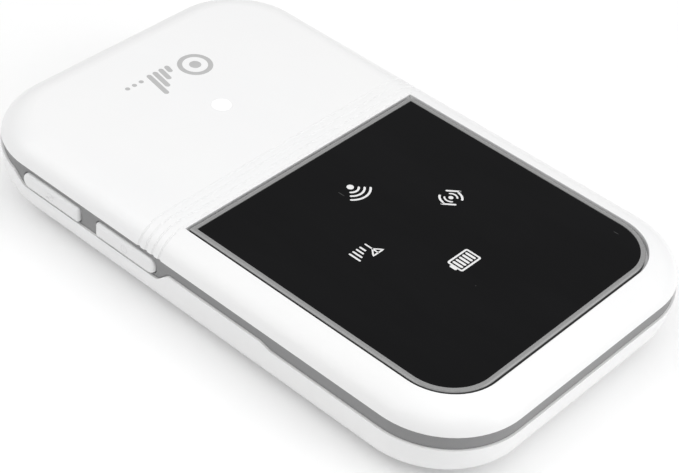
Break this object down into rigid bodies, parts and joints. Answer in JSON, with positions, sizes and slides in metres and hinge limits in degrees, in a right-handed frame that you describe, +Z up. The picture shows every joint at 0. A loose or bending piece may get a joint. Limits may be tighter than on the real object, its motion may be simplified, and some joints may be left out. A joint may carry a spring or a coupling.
{
  "type": "mobile hotspot",
  "caption": "Pocket mobile hotspot: rounded white case with a grey middle band, black indicator window, two side keys, charging port and removable battery.",
  "frame": {"origin": "middle of the footprint, on the flat underside of the rear cover", "axes": "+X along the case towards the window's end, +Z up through the window, the side keys on the -Y side"},
  "size_m": [0.0999, 0.0601, 0.0145],
  "materials": {
    "cover_plastic": "smooth white gloss",
    "key_plastic": "white satin gloss",
    "lens_plastic": "milky white",
    "frame_plastic": "fine satin grey",
    "trim_plastic": "satin grey paint",
    "window_panel": "clear panel printed black behind",
    "black_plastic": "moulded black",
    "film": "milky film",
    "board_laminate": "green solder mask",
    "shield_tin": "tinned sheet",
    "chip_epoxy": "moulded epoxy",
    "component_ceramic": "fired ceramic",
    "contact_gold": "gold plating",
    "antenna_copper": "bare copper",
    "screw_steel": "black zinc",
    "battery_wrap": "aluminium cell in a thin dark wrap",
    "label_paper": "coated label",
    "foam": "closed-cell foam"
  },
  "bodies": {
    "case": {"antenna_carrier": "black_plastic", "antenna_clips": "contact_gold", "battery_connector": "black_plastic", "battery_foam": "foam", "battery_springs": "contact_gold", "case_screws": "screw_steel", "diversity_antenna": "antenna_copper", "icon_baffle": "black_plastic", "icon_diffuser": "film", "icon_leds": "lens_plastic", "main_antenna": "antenna_copper", "main_board": "board_laminate", "memory_chip": "chip_epoxy", "micro_usb_contacts": "contact_gold", "micro_usb_shell": "shield_tin", "micro_usb_tongue": "black_plastic", "mid_frame": "frame_plastic", "modem_processor": "chip_epoxy", "modem_shield": "shield_tin", "power_chip": "chip_epoxy", "power_inductor": "component_ceramic", "power_switch": "shield_tin", "radio_amplifier": "chip_epoxy", "radio_filter": "component_ceramic", "radio_shield": "shield_tin", "rating_label": "label_paper", "reference_crystal": "shield_tin", "sim_contacts": "contact_gold", "sim_holder": "shield_tin", "small_components": "component_ceramic", "status_led": "lens_plastic", "status_lens": "lens_plastic", "top_cover": "cover_plastic", "wifi_antenna": "component_ceramic", "wifi_chip": "chip_epoxy", "wifi_shield": "shield_tin", "window": "window_panel", "window_adhesive": "black_plastic", "window_trim": "trim_plastic", "wps_switch": "shield_tin"},
    "power_key": {"power_key": "key_plastic", "power_switch_plunger": "black_plastic"},
    "wps_key": {"wps_key": "key_plastic", "wps_switch_plunger": "black_plastic"},
    "rear_cover": {"rear_cover": "cover_plastic"},
    "battery": {"battery": "battery_wrap", "battery_pads": "contact_gold", "battery_label": "label_paper"}
  },
  "joints": [
    {"name": "case_lift", "type": "slide", "parent": "rear_cover", "child": "case", "axis": [0, 0, 1], "range_m": [0, 0.03]},
    {"name": "battery_lift", "type": "slide", "parent": "rear_cover", "child": "battery", "axis": [0, 0, 1], "range_m": [0, 0.015]},
    {"name": "power_key_press", "type": "slide", "parent": "case", "child": "power_key", "axis": [0, 1, 0], "range_m": [0, 0.0004], "stiffness_N_per_m": 1500, "springref_m": -0.001},
    {"name": "wps_key_press", "type": "slide", "parent": "case", "child": "wps_key", "axis": [0, 1, 0], "range_m": [0, 0.0004], "stiffness_N_per_m": 1500, "springref_m": -0.001}
  ],
  "couplings": [
    {"joint": "battery_lift", "follows": "case_lift", "ratio": 0.5}
  ]
}
